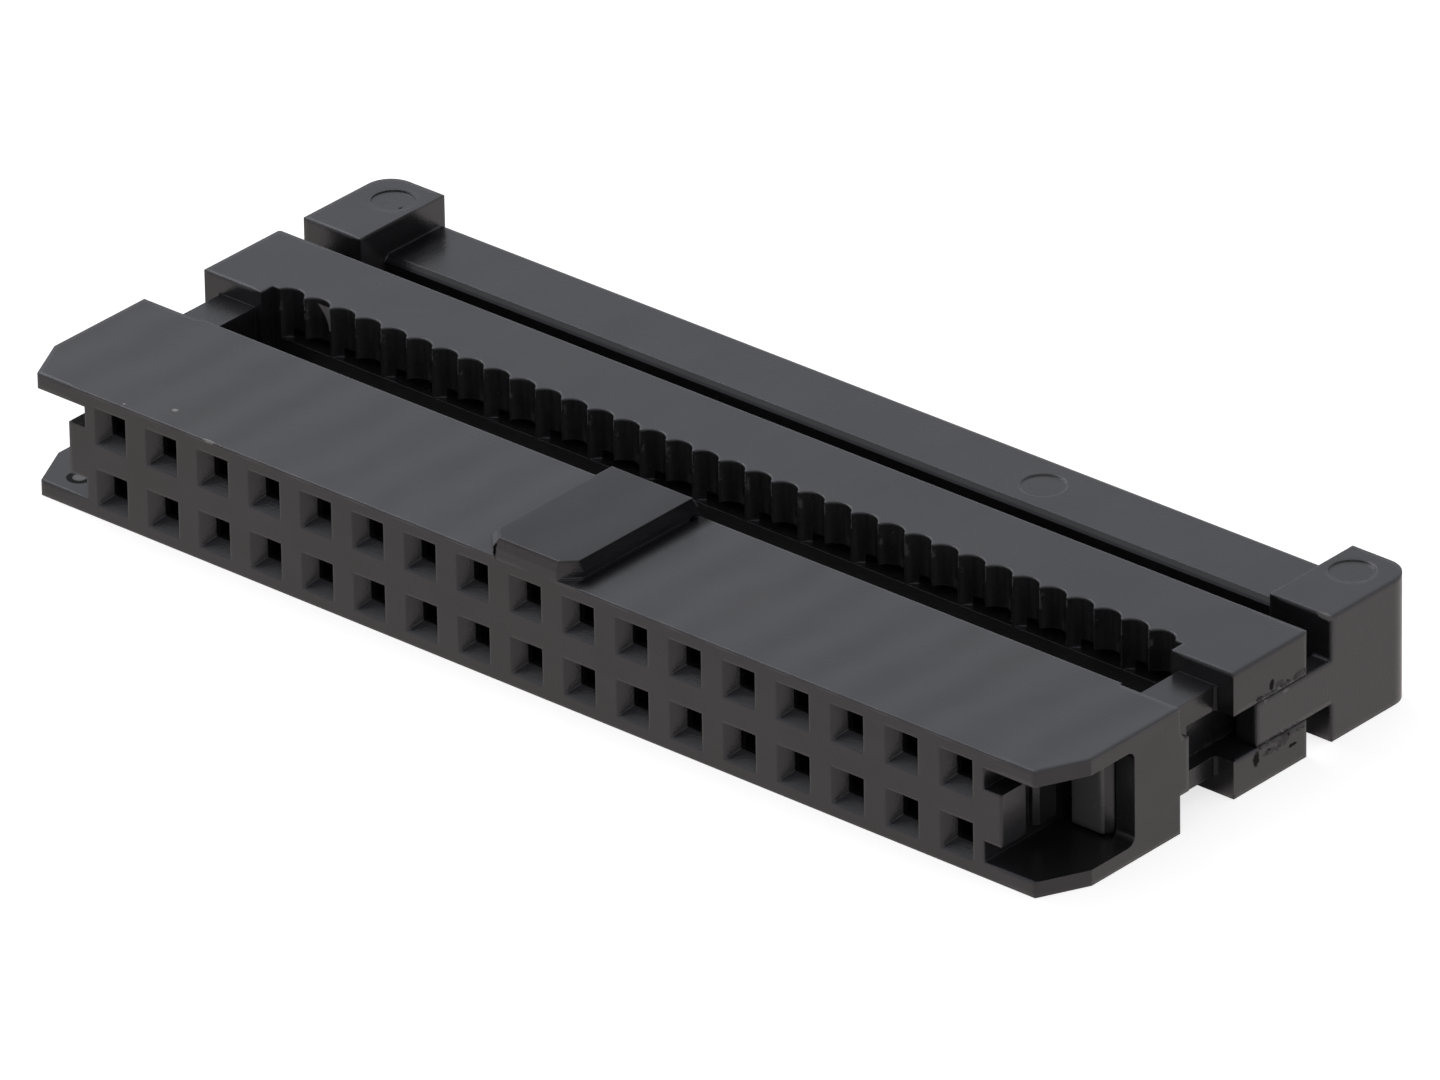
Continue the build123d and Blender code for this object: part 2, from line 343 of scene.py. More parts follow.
# %% [markdown]
# ## Marks that a mould leaves
# Ejector pins push a moulding out and leave a faint round outline. Gates and vents leave torn
# specks along an edge, where the skin has whitened, and small dark holes. Both are masks: a
# ring is a narrow band of distance from the pin's centre, and a blot is an oval with a ragged
# border. The solids have no such holes, so a hole's darkness is painted shade. It can't go into
# the colour, because the sheen would hide the paint, so its mask goes to the pits of the finish,
# a dark matte shader with no sheen, which also takes the other painted shade and shadows.

# %% Rings and blots
ring_core = 0.02
ring_width = 0.05
face_reach = 0.06
top_reach = 0.05
blot_noise_size = 1.6
blot_raggedness = 1.1
blot_core = 0.60
blot_rim = 1.05


def distance_flat(tree, x, y, centre):
    """Distance in plan from a centre, in millimetres."""
    across = x - centre[0]
    along = y - centre[1]
    return (across * across + along * along).maths("SQRT")


def ring(tree, x, y, z, centre, radius, face_z):
    """A thin round outline on the face at height face_z."""
    away = abs(distance_flat(tree, x, y, centre) - radius)
    return tree.fall(away, ring_core, ring_width) * tree.near(z, face_z, face_reach)


def blot(tree, place, centre, halves, seed):
    """A ragged oval around a point, with its half width along each axis."""
    offset = tree.vector("DIVIDE", tree.vector("SUBTRACT", place, centre), halves)
    away = tree.vector("LENGTH", offset, out="Value")
    ragged_field = tree.noise(place, min(halves) * blot_noise_size, rough=0.6, seed=seed)
    return tree.fall(away + (ragged_field - 0.5) * blot_raggedness, blot_core, blot_rim)


def blots(tree, place, spots, first_seed=20.0):
    """The ragged ovals of one moulding together."""
    together = None
    for number, (centre, halves) in enumerate(spots):
        spot = blot(tree, place, centre, halves, first_seed + number)
        together = spot if together is None else together.larger(spot)
    return together


print("mark helpers ready")

# %% [markdown]
# ## The housing
# The housing's top has soft bands, one over each column of sockets, where the thick walls
# between the sockets have sunk as they cooled; the sink is in the height, and the bands' paler
# colour is painted sheen. Its front edge has a few whitened flakes, the key has painted shade in
# a thin dark line at its left foot and at its right rear foot, and a painted shadow beside its
# right side, and the lower wing of the left end has the crescent of a small pin, with painted
# shade on its dark side and a painted highlight in its middle. The key's crown is a little
# darker than the top around it. Its right side is steep on the real moulding, so the narrow
# chamfer there takes its light as the wall below it does.

# %% Places on the housing
socket_pitch = 2.0
band_start = 1.0
band_noise_size = 2.5
band_wander = 1.1
band_sheen_share = 0.55
band_height = 0.010
flakes = [
    ((-14.17, 0.82, 2.0), (0.10, 0.09, 0.08)),
    ((-12.15, 0.03, 2.0), (0.26, 0.07, 0.08)),
    ((-15.57, 0.17, 2.0), (0.05, 0.05, 0.08)),
]
flake_share = 0.9
key_foot_shade_lines = [
    ((-1.13, 0.03, 2.20), (0.07, 0.10, 0.30)),
    ((1.78, 5.20, 2.02), (0.10, 0.22, 0.10)),
]
crescent_centre = (-18.08, 0.81)
crescent_face = -1.5
crescent_radius = 0.30
crescent_width = 0.07
crescent_soft = 0.04
crescent_back = (0.80, 0.95)
crescent_shade_depth = 0.8
crescent_middle = (0.14, 0.24)
crescent_highlight_share = 0.45
print("flakes", len(flakes), "key_foot_shade_lines", len(key_foot_shade_lines))

# %% The key and the inner corners
key_half = 1.75
key_reach = 1.80
key_edges = (2.15, 2.20)
key_crown = (2.44, 2.47)
crown_depth = 0.16
crown_band_depth = 0.07
key_side = (1.72, 1.76)
shadow_width = 0.26
shadow_soft = 0.48
shadow_start = (-0.10, 0.45)
shadow_depth = 0.78
foot_field = 2.0
foot_soft = 0.1
foot_height = 0.10
facing_up = (0.90, 0.97)
facing_left = (-0.5, -0.3)
levelled = (1, 1, 0.02)
sockets_start = (0.07, 0.10)
sockets_end = (5.3, 5.4)
walls_inside = (1.85, 1.90)
print("key", 2 * key_half, "mm wide")

# %% Bands, flakes and the crescent
tree, place, (x, y, z), colour, height, worn_and_highlit_edges = start_plastic("housing_plastic")
colour = tree.mix(worn_and_highlit_edges * edge_wear_and_highlight_share, colour, rubbed_and_edge_highlight)
on_top = tree.near(z, plate_top, top_reach)
wander = (tree.noise(place, band_noise_size, seed=7.7) - 0.5) * band_wander
wave = ((x + wander - band_start) * (2 * math.pi / socket_pitch)).maths("SINE")
band = wave * 0.5 + 0.5
# The bands' paler colour is painted sheen over the real sink, which the height carries.
colour = tree.mix(band * on_top * band_sheen_share, colour, painted_light_grey)
height = height + band * on_top * band_height

to_pin = distance_flat(tree, x, y, crescent_centre)
on_wing = tree.near(z, crescent_face, face_reach)
moon = tree.near(to_pin, crescent_radius, crescent_width, crescent_soft)
# The crescent's dark side is painted shade and its pale middle a painted highlight.
moon_painted_shade = moon * on_wing * tree.fall(y, *crescent_back) * crescent_shade_depth
moon_painted_highlight = tree.fall(to_pin, *crescent_middle) * on_wing * crescent_highlight_share
spots = blots(tree, place, flakes)
colour = tree.mix(spots.larger(moon_painted_highlight) * flake_share, colour, dust_and_highlight)
# Painted shade: thin dark lines at the key's feet, and the crescent's dark side.
pits_and_painted_shade = blots(tree, place, key_foot_shade_lines, 40.0).larger(moon_painted_shade)
print("bands every", socket_pitch, "mm")

# %% Finish of the housing
over_key = tree.near(x, 0.0, key_reach)
crown = over_key * tree.rise(z, *key_crown) * (crown_depth + band * crown_band_depth)
beside_key = tree.near(x, key_half, shadow_width, shadow_soft) * tree.rise(x, *key_side)
shadow = beside_key * on_top * tree.rise(y, *shadow_start) * shadow_depth
pits_and_painted_shade = pits_and_painted_shade.larger(crown).larger(shadow)
along_sockets = tree.rise(y, *sockets_start) * tree.fall(y, *sockets_end)
in_sockets = along_sockets * tree.fall(abs(z), *walls_inside)
at_foot = tree.near(x, 0.0, foot_field, foot_soft) * tree.near(z, plate_top, foot_height)
inner = in_sockets.larger(at_foot)


def key_normal(bent):
    """The bent normal, laid level on the key's chamfer except on its left side."""
    facing = tree.apart(tree.flat_normal())
    chamfer = tree.fall(facing[2], *facing_up) * tree.rise(facing[0], *facing_left)
    on_key = over_key * tree.rise(z, *key_edges)
    level = tree.vector("NORMALIZE", tree.vector("MULTIPLY", bent, levelled))
    return tree.blend(chamfer * on_key, bent, level)


gloss_drop = spots * torn_gloss_drop
housing_plastic = finish_plastic(tree, place, colour, height, gloss_drop, pits_and_painted_shade, inner, key_normal)
print("housing", len(tree.nodes), "nodes")

# %% [markdown]
# ## The cover
# The cover's top is the smoothest face. The tips between its cable grooves carry a painted
# highlight, a little below the top, and the wall of the third groove has a pale crescent that
# runs down it at a slant. The right end has dark holes, which are painted shade, and grey smears
# along the groove that takes the arm of the strain relief. The tips of the legs carry a painted
# highlight too, and the fillets at their roots painted shade, because they catch more of the
# tent here than they do in the photograph.

# %% Places on the cover
groove_pitch = 1.0
groove_field = 17.3
groove_depth = (8.45, 8.60)
groove_top = (1.90, 1.96)
groove_wear_drop = 0.40
tip_y = 8.38
tip_sides = (0.06, 0.16)
tip_front = (0.04, 0.12)
tip_highlight_band = (1.55, 0.16, 0.16)
tip_highlight_size = 0.45
tip_highlight_limits = (0.50, 0.64)
tip_highlight_share = 0.7
end_x = cover_high.x
end_reach = 0.03
holes = [
    ((end_x, 9.55, 0.97), (0.10, 0.11, 0.20)),
    ((end_x, 8.86, -1.12), (0.10, 0.17, 0.26)),
    ((end_x, 10.45, -1.34), (0.10, 0.22, 0.07)),
]
smears = [
    ((end_x, 10.08, -0.95), (0.12, 0.40, 0.20)),
    ((end_x, 9.45, -1.12), (0.12, 0.40, 0.12)),
    ((end_x, 10.75, 0.78), (0.12, 0.30, 0.16)),
    ((end_x, 9.90, 0.86), (0.12, 0.22, 0.12)),
]
hole_shade_depth = 0.85
smear_depth = 0.36
print("end face at X", round(end_x, 2), "holes", len(holes), "smears", len(smears))

# %% Places on the groove walls and the legs
wall_crescent_slant_x = 0.876
wall_crescent_slant_z = 0.712
wall_crescent_foot = 1.22
wall_crescent_height = 0.78
wall_crescent_bow = 0.42
wall_crescent_left = (-15.10, -15.02)
wall_crescent_right = (-15.03, -14.97)
wall_crescent_up = (1.62, 0.36, 0.05)
wall_crescent_along = (8.7, 0.45)
wall_crescent_share = 0.85
leg_tip_start = cover_low.y + 0.03
leg_tip_end = cover_low.y + 0.08
leg_tip_highlight_share = 0.9
leg_root_x = 18.91
leg_root_half = 0.08
leg_root_shade_depth = 0.62
leg_root_start = (7.69, 7.73)
leg_root_end = (7.860, 7.868)
leg_start = (5.6, 5.7)
leg_end = (7.95, 8.0)
print("scar at X", wall_crescent_left[0], "leg's root at X", leg_root_x)

# %% Painted highlight on the tips, and the crescent
tree, place, (x, y, z), colour, height, worn_and_highlit_edges = start_plastic("cover_plastic")
in_grooves = tree.near(x, 0.0, groove_field) * tree.fall(y, *groove_depth)
in_grooves = in_grooves * tree.fall(z, *groove_top)
colour = tree.mix(worn_and_highlit_edges * (edge_wear_and_highlight_share - in_grooves * groove_wear_drop), colour, rubbed_and_edge_highlight)
# A painted highlight on each tip between the grooves, a little below the top.
to_tip = abs((x + 0.5).maths("FLOORED_MODULO", groove_pitch) - 0.5)
on_tip = tree.fall(to_tip, *tip_sides) * tree.fall(abs(y - tip_y), *tip_front)
tip_highlight_noise = tree.noise(place, tip_highlight_size, detail=3.0, rough=0.6, seed=4.4)
ragged_field = on_tip * tree.near(abs(z), *tip_highlight_band) * tree.rise(tip_highlight_noise, *tip_highlight_limits)
colour = tree.mix(ragged_field * tip_highlight_share, colour, painted_highlight_grey)

into = y - tip_y
slant_x = x + into * wall_crescent_slant_x
slant_z = z + into * wall_crescent_slant_z
arch = (slant_z - wall_crescent_foot) / wall_crescent_height
wall_crescent = tree.rise(slant_x + arch * arch * wall_crescent_bow, *wall_crescent_left) * tree.fall(slant_x, *wall_crescent_right)
wall_crescent = wall_crescent * tree.near(slant_z, *wall_crescent_up) * tree.near(y, *wall_crescent_along)
colour = tree.mix(wall_crescent * wall_crescent_share, colour, dust_and_highlight)
# A painted highlight on the front of each leg's tip.
leg_tip_painted_highlight = tree.fall(y, leg_tip_start, leg_tip_end)
colour = tree.mix(leg_tip_painted_highlight * leg_tip_highlight_share, colour, painted_highlight_grey)
print("whitened tips every", groove_pitch, "mm")

# %% Finish of the cover
on_end = tree.near(x, end_x, end_reach)
# The dark holes on the end are painted shade.
end_hole_painted_shade = blots(tree, place, holes, 50.0) * on_end * hole_shade_depth
end_smears = blots(tree, place, smears, 60.0) * on_end * smear_depth
# Painted shade on the fillet at each leg's root.
root_painted_shade = tree.near(abs(x), leg_root_x, leg_root_half) * tree.rise(y, *leg_root_start)
root_painted_shade = root_painted_shade * tree.fall(y, *leg_root_end) * leg_root_shade_depth
pits_and_painted_shade = end_hole_painted_shade.larger(end_smears).larger(root_painted_shade)
on_leg = tree.rise(y, *leg_start) * tree.fall(y, *leg_end) * tree.fall(abs(z), *walls_inside)
inner = on_leg.larger(in_grooves)
cover_plastic = finish_plastic(tree, place, colour, height, 0.0, pits_and_painted_shade, inner)
print("cover", len(tree.nodes), "nodes")

# %% [markdown]
# ## The strain relief
# Its blocks and its bar show the outlines of the ejector pins, paler than the skin because the
# pin's edge has lifted it. The right block has a torn corner over the gap, the top edge of the
# arm has two pale nicks where it meets the cover, and the left block has a dark nick on top.
# Faces that look sideways get painted light, a slightly paler colour. Three places get painted
# shade, as the photograph has them: the front of the bar, the inner wall of the left block, and
# the bar's corner beside it, which takes a painted shadow.

# %% Places on the strain relief
pin_radius = 0.68
pin_colour_share = 0.55
block_pins = [((18.2, 14.7), 1.0), ((-18.2, 14.7), 0.45)]
bar_pin = (6.97, 14.5)
bar_top = 1.05
bar_front_y = 13.22
bar_field = 17.2
bar_start = (13.45, 13.55)
bar_under = (0.9, 0.95)
block_inner = 17.25
ring_reach = 0.06
ring_left = (-1.0, 1.0)
ring_soften = 0.85
chips = [
    ((19.25, 12.22, 1.94), (0.32, 0.10, 0.12)),
    ((19.5, 9.28, 0.56), (0.08, 0.09, 0.07)),
    ((19.5, 10.18, 0.52), (0.08, 0.16, 0.07)),
]
chip_share = 0.5
nicks = [((-17.75, 14.51, 2.0), (0.06, 0.14, 0.08))]
nick_depth = 0.8
print("pins", len(block_pins) + 1, "chips", len(chips), "nicks", len(nicks))

# %% Sides and shadows of the strain relief
side_facing = (0.6, 0.8)
side_light_share = 0.7
broken_size = 0.8
broken_limits = (0.30, 0.55)
front_reach = 0.05
front_shade_depth = 0.38
wall_reach = 0.04
wall_slope = 0.8
wall_along = (15.0, 0.9, 0.5)
wall_up = (1.0, 1.05)
wall_shade_depth = 0.62
corner_x = 0.15 - block_inner
corner_across = (0.12, 0.45)
corner_reach = 0.04
corner_along = (14.3, 0.7, 0.6)
corner_shadow_depth = 0.6
print("shadows on the bar from Y", bar_front_y)

# %% Pin marks and chips
tree, place, (x, y, z), colour, height, worn_and_highlit_edges = start_plastic("strain_relief_plastic")
colour = tree.mix(worn_and_highlit_edges * edge_wear_and_highlight_share, colour, rubbed_and_edge_highlight)
facing = tree.apart(tree.flat_normal())
# Sideways faces get painted light: a paler colour.
side_painted_light = tree.rise(abs(facing[0]), *side_facing)
colour = tree.mix(side_painted_light * side_light_share, colour, painted_light_grey)
rings = ring(tree, x, y, z, bar_pin, pin_radius, bar_top)
for centre, strength in block_pins:
    mark = ring(tree, x, y, z, centre, pin_radius, clamp_high.z)
    rings = rings.larger(mark * strength)
broken = tree.rise(tree.noise(place, broken_size, seed=6.1), *broken_limits)
colour = tree.mix(rings * broken * pin_colour_share, colour, rubbed_and_edge_highlight)
spots = blots(tree, place, chips, 70.0)
colour = tree.mix(spots * chip_share, colour, dust_and_highlight)
print("pin marks of radius", pin_radius, "mm")

# %% Finish of the strain relief
# Painted shade on the bar's front and the left block's inner wall, and a painted shadow in the
# bar's corner beside it.
bar_front_painted_shade = tree.near(y, bar_front_y, front_reach) * tree.near(x, 0.0, block_inner)
wall_painted_shade = tree.near(x, -block_inner, wall_reach) * tree.near(y + z * wall_slope, *wall_along)
wall_painted_shade = wall_painted_shade * tree.rise(z, *wall_up)
corner_painted_shadow = tree.near(x, corner_x, *corner_across) * tree.near(z, bar_top, corner_reach)
corner_painted_shadow = corner_painted_shadow * tree.near(y, *corner_along)
pits_and_painted_shade = blots(tree, place, nicks, 80.0) * nick_depth
for shadow, depth in ((bar_front_painted_shade, front_shade_depth), (wall_painted_shade, wall_shade_depth), (corner_painted_shadow, corner_shadow_depth)):
    pits_and_painted_shade = pits_and_painted_shade.larger(shadow * depth)
to_block_pin = distance_flat(tree, abs(x), y, block_pins[0][0])
at_ring = tree.near(to_block_pin, pin_radius, ring_reach) * tree.fall(x, *ring_left)
at_ring = at_ring * tree.near(z, clamp_high.z, face_reach)


def clamp_normal(bent):
    """The bent normal, turned up over the left block's faint pin mark."""
    return tree.blend(at_ring * ring_soften, bent, (0.0, 0.0, 1.0))


before_bar = tree.fall(y, *bar_start)
inner = tree.near(x, 0.0, bar_field) * before_bar.larger(tree.fall(z, *bar_under))
gloss_drop = spots * torn_gloss_drop
clamp_plastic = finish_plastic(tree, place, colour, height, gloss_drop, pits_and_painted_shade, inner, clamp_normal)
print("strain relief", len(tree.nodes), "nodes")

# %% [markdown]
# ## The contacts
# The contacts are stamped from phosphor bronze strip and plated with tin over the blade and
# with gold where the pin rubs. The change of plating is a soft line across the trough, and the
# strip has fine rolling lines along it.

# %% Finish of the contacts
gold = (0.80, 0.58, 0.26, 1)
tin = (0.56, 0.55, 0.53, 1)
bronze = (0.30, 0.26, 0.20, 1)
bronze_share = 0.35
plating_line_y = 3.1
plating_soft = 0.5
plating_noise_size = 0.6
plating_wander = 0.3
rolling_stretch = (9.0, 0.7, 9.0)
rolling_size = 0.5
rolling_height = 0.008
rolling_roughness = 0.22
metal_roughness = 0.28
metal_bump = 0.4

tree = Finish("contact_metal")
place, _, y, _ = tree.places()
edge_of_tin = y + tree.noise(place, plating_noise_size, seed=2.0) * plating_wander
tinned = tree.rise(edge_of_tin, plating_line_y, plating_line_y + plating_soft)
rolled = tree.vector("MULTIPLY", place, rolling_stretch)
lines = tree.noise(rolled, rolling_size, rough=0.6, seed=8.0)
metal_colour = tree.mix(tinned, gold, tin)
metal_colour = tree.mix(lines * bronze_share, metal_colour, bronze)
roughness = metal_roughness + lines * rolling_roughness
bump = tree.bump(lines * rolling_height, metal_bump)
tree.set(Base_Color=metal_colour, Metallic=1.0, Roughness=roughness, Normal=bump)
contact_metal = tree.material
print("gold to tin at Y", plating_line_y)

# %% Put the finishes on the solids
finishes = {"housing": housing_plastic, "cover": cover_plastic, "strain_relief": clamp_plastic}
for name, solid in nodes.items():
    solid.data.materials.clear()
    solid.data.materials.append(finishes.get(name, contact_metal))
print("dressed", len(nodes), "solids")

# %% [markdown]
# ## Torn plastic
# Where the mould's halves met on the cover's end, a thin fin of plastic squeezed out and tore
# off in crumbs. It has no skin, so it is paler and duller than the rest.

# %% Finish of the torn plastic
torn_dark = (0.022, 0.022, 0.023, 1)
torn_pale = (0.120, 0.118, 0.114, 1)
torn_roughness = 0.52
torn_bump = 0.7
fibre_size = 0.05
fibre_limits = (0.40, 0.62)
fibre_height = 0.02
fibre_roughness = 0.25

tree = Finish("torn_plastic")
fibres = tree.noise(tree.places()[0], fibre_size, detail=3.0, rough=0.7, seed=15.0)
torn_colour = tree.mix(tree.rise(fibres, *fibre_limits), torn_dark, torn_pale)
roughness = torn_roughness + fibres * fibre_roughness
bump = tree.bump(fibres * fibre_height, torn_bump)
tree.set(Base_Color=torn_colour, Roughness=roughness, Normal=bump, IOR=plastic_ior)
torn_plastic = tree.material
print("fibres of", fibre_size, "mm")

# %% [markdown]
# ## Crumbs that follow a line
# The crumbs lie along the two seams of the cover's end groove, and along the tips between the
# cable grooves. Each could be modelled by hand, but they repeat along a path, which is what
# Geometry Nodes are for: a tree takes a guide of joined points, runs a ragged thread along it
# and scatters lumps of random size on it. Its sizes are named inputs, so one tree serves every
# seam, and its seeds are fixed, so the crumbs are the same each time.


# %% A tree that grows crumbs on a guide
class Growth(Tree):
    """A Geometry Nodes tree with a guide, named sizes in metres and one result."""

    prefix = "GeometryNode"

    def __init__(self, name, sizes):
        self.group = bpy.data.node_groups.new(name, "GeometryNodeTree")
        self.nodes = self.group.nodes
        self.links = self.group.links
        self.ways = {}
        face = self.group.interface
        face.new_socket("Guide", in_out="INPUT", socket_type="NodeSocketGeometry")
        for size in sizes:
            way = face.new_socket(size, in_out="INPUT", socket_type="NodeSocketFloat")
            self.ways[size] = way.identifier
        face.new_socket("Made", in_out="OUTPUT", socket_type="NodeSocketGeometry")
        self.entry = self.nodes.new("NodeGroupInput")

    def given(self, name):
        """One of the tree's own inputs."""
        return Socket(self, self.entry.outputs[name])

    def random_vector(self, low, high, seed):
        """A vector for each point, between two others."""
        inputs = {0: low, 1: high, "Seed": seed}
        return self.node("FunctionNodeRandomValue", {"data_type": "FLOAT_VECTOR"}, inputs)

    def join(self, *parts):
        """Several geometries as one."""
        joined = self.nodes.new("GeometryNodeJoinGeometry")
        for part in parts:
            self.links.new(part.out, joined.inputs[0])
        return Socket(self, joined.outputs[0])

    def end(self, made, material):
        """Realises the instances, sets the material and connects the result."""
        whole = self.node("RealizeInstances", {}, [made])
        dressed = self.node("SetMaterial", {}, {"Geometry": whole, "Material": material})
        self.links.new(dressed.out, self.nodes.new("NodeGroupOutput").inputs[0])


# %% [markdown]
# ## The thread and the lumps
# The guide becomes a curve, is cut to an even step and shaken by noise. A circle swept along it
# is the thread, and small icospheres on its points are the lumps. Lumps of twenty faces are
# enough at a twentieth of a millimetre.

# %% A shaken thread
noise_middle = (0.5, 0.5, 0.5)
shake_scale = 2200.0
shake_axes = (0.25, 1, 1)
swell_scale = 5200.0
thread_sides = 5

crumbs = Growth("crumbs_on_seam", ["Step", "Wander", "Thread", "Lump", "Share"])
curve = crumbs.node("MeshToCurve", {}, {"Mesh": crumbs.given("Guide")})
lengths = {"Curve": curve, "Length": crumbs.given("Step")}
cut = crumbs.node("ResampleCurve", {"mode": "LENGTH"}, lengths)
shake_noise = {"Scale": shake_scale, "Detail": 2.0}
shake = crumbs.node("ShaderNodeTexNoise", {}, shake_noise, "Color")
centred = crumbs.vector("SUBTRACT", shake, noise_middle)
flattened = crumbs.vector("MULTIPLY", centred, shake_axes)
offset = crumbs.scaled(flattened, crumbs.given("Wander"))
shaken = crumbs.node("SetPosition", {}, {"Geometry": cut, "Offset": offset})
outline = crumbs.node("CurvePrimitiveCircle", {}, {"Resolution": thread_sides, "Radius": 1.0})
swell = crumbs.node("ShaderNodeTexNoise", {}, {"Scale": swell_scale, "Detail": 1.0})
multiply = {"operation": "MULTIPLY"}
thickness = crumbs.node("ShaderNodeMath", multiply, [swell, crumbs.given("Thread")])
swept = {"Curve": shaken, "Profile Curve": outline, "Scale": thickness, "Fill Caps": True}
thread = crumbs.node("CurveToMesh", {}, swept)
print("thread of", thread_sides, "sides")

# %% Lumps on the thread
full_turn = 6.28
lump_small = (0.35, 0.5, 0.4)
lump_large = (0.8, 1.5, 1.1)
choice_seed = 4
spin_seed = 9
size_seed = 2

points = crumbs.node("CurveToPoints", {"mode": "EVALUATED"}, {"Curve": shaken})
lump = crumbs.node("MeshIcoSphere", {}, {"Radius": 1.0, "Subdivisions": 1})
odds = {"Probability": crumbs.given("Share"), "Seed": choice_seed}
some = crumbs.node("FunctionNodeRandomValue", {"data_type": "BOOLEAN"}, odds, 3)
spun = crumbs.random_vector((0, 0, 0), (full_turn, full_turn, full_turn), spin_seed)
sized = crumbs.random_vector(lump_small, lump_large, size_seed)
placed = {
    "Points": points,
    "Selection": some,
    "Instance": lump,
    "Rotation": spun,
    "Scale": crumbs.scaled(sized, crumbs.given("Lump")),
}
lumps = crumbs.node("InstanceOnPoints", {}, placed)
crumbs.end(crumbs.join(thread, lumps), torn_plastic)
print("crumb tree", len(crumbs.nodes), "nodes")

# %% [markdown]
# ## Growing them on guides
# Each guide is a mesh of points joined in a row. Its modifier's inputs are set by the sockets'
# identifiers before the guide is looked at, then the result is copied out as a plain mesh and
# the modifier goes. The crumbs ride on the cover, because that is the moulding they hang on.


# %% Grow a guide
def grow(name, rows, sizes, body):
    """Turns rows of points, in millimetres, into crumbs that ride on a body."""
    guide_points = []
    edges = []
    for row in rows:
        first = len(guide_points)
        guide_points += [Vector(point) * MM for point in row]
        edges += [(first + step, first + step + 1) for step in range(len(row) - 1)]
    guide = bpy.data.meshes.new(name + "_guide")
    guide.from_pydata(guide_points, edges, [])
    piece = bpy.data.objects.new(name, guide)
    bpy.context.scene.collection.objects.link(piece)
    modifier = piece.modifiers.new("growth", "NODES")
    modifier.node_group = crumbs.group
    for size, value in sizes.items():
        modifier[crumbs.ways[size]] = value
    bpy.context.view_layer.update()
    looked_at = piece.evaluated_get(bpy.context.evaluated_depsgraph_get())
    plain = bpy.data.meshes.new_from_object(looked_at)
    piece.modifiers.clear()
    piece.data = plain
    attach(piece, body)
    print(name, "faces", len(plain.polygons))


# %% Crumbs on the cover's end
seam_inset = 0.03
seam_x = end_x - seam_inset
seam_sizes = {
    "Step": 0.08 * MM,
    "Wander": 0.16 * MM,
    "Thread": 0.12 * MM,
    "Lump": 0.085 * MM,
    "Share": 0.7,
}
upper_seam = [
    [(seam_x, 8.92, 0.68), (seam_x, 9.20, 0.71), (seam_x, 9.45, 0.71), (seam_x, 9.75, 0.69)],
    [(seam_x, 9.95, 0.72), (seam_x, 10.4, 0.72), (seam_x, 10.75, 0.77), (seam_x, 11.05, 0.80)],
]
lower_seam = [
    [(seam_x, 8.95, -0.88), (seam_x, 9.30, -0.87), (seam_x, 9.70, -0.87), (seam_x, 10.05, -0.90)],
    [(seam_x, 9.35, -1.12), (seam_x, 9.75, -1.16), (seam_x, 10.1, -1.10)],
    [(seam_x, 10.30, -0.92), (seam_x, 10.65, -0.95), (seam_x, 11.0, -1.00)],
]
grow("seam_crumbs_upper", upper_seam, seam_sizes, "cover_body")
grow("seam_crumbs_lower", lower_seam, seam_sizes, "cover_body")

# %% [markdown]
# ## Flash on the groove tips
# Between two cable grooves the cover's front ends in a narrow tip. The mould's two halves meet
# there, and a whisker of flash stands on each tip but the two outer ones. Each is a guide of
# three points, and their lower ends stand at five different heights.

# %% Flash on the tips
tip_count = 35
tip_high = 1.94
tip_low = 1.72
tip_spread = 0.22
tip_proud = 0.005
tip_sizes = {
    "Step": 0.05 * MM,
    "Wander": 0.08 * MM,
    "Thread": 0.032 * MM,
    "Lump": 0.024 * MM,
    "Share": 0.30,
}
tip_rows = []
for tip in range(1, tip_count - 1):
    tip_x = (tip - (tip_count - 1) / 2) * groove_pitch
    front = tip_y - tip_proud
    low_end = tip_low - tip_spread * ((tip * 7) % 5) / 4
    middle = (low_end + tip_high) / 2
    tip_rows.append([(tip_x, front, low_end), (tip_x, front, middle), (tip_x, tip_y, tip_high)])
grow("tip_flash", tip_rows, tip_sizes, "cover_body")
print("tips with flash", len(tip_rows))

# %% [markdown]
# ## The photograph
# The camera stands where the photograph was taken from: half a metre away with a long lens,
# to the right of the mating face and a little above it, rolled by one degree. Its place is
# given by two angles and a point, because those say more than a matrix does.

# %% Camera
azimuth = 41.4695
elevation = 28.1279
roll = -1.0091
eye = Vector((293.90, -324.18, 236.69)) * MM
sensor_width = 36.0
focal_share = 17548.8 / 1440

turn = math.radians(azimuth)
drop = math.radians(elevation)
spin = math.radians(roll)
ahead = math.cos(drop)
forward = Vector((-math.sin(turn) * ahead, math.cos(turn) * ahead, -math.sin(drop)))
flat_right = forward.cross(Vector((0, 0, 1))).normalized()
flat_up = flat_right.cross(forward)
right = flat_right * math.cos(spin) + flat_up * math.sin(spin)
up = flat_up * math.cos(spin) - flat_right * math.sin(spin)
camera_data = bpy.data.cameras.new("camera")
camera_data.sensor_width = sensor_width
camera_data.lens = sensor_width * focal_share
camera_data.clip_start = 0.01
camera = bpy.data.objects.new("camera", camera_data)
bpy.context.scene.collection.objects.link(camera)
turned = Matrix((right, up, -forward)).transposed().to_4x4()
camera.matrix_world = Matrix.Translation(eye) @ turned
bpy.context.scene.camera = camera
print("lens", round(camera_data.lens, 1), "mm, forward", forward)

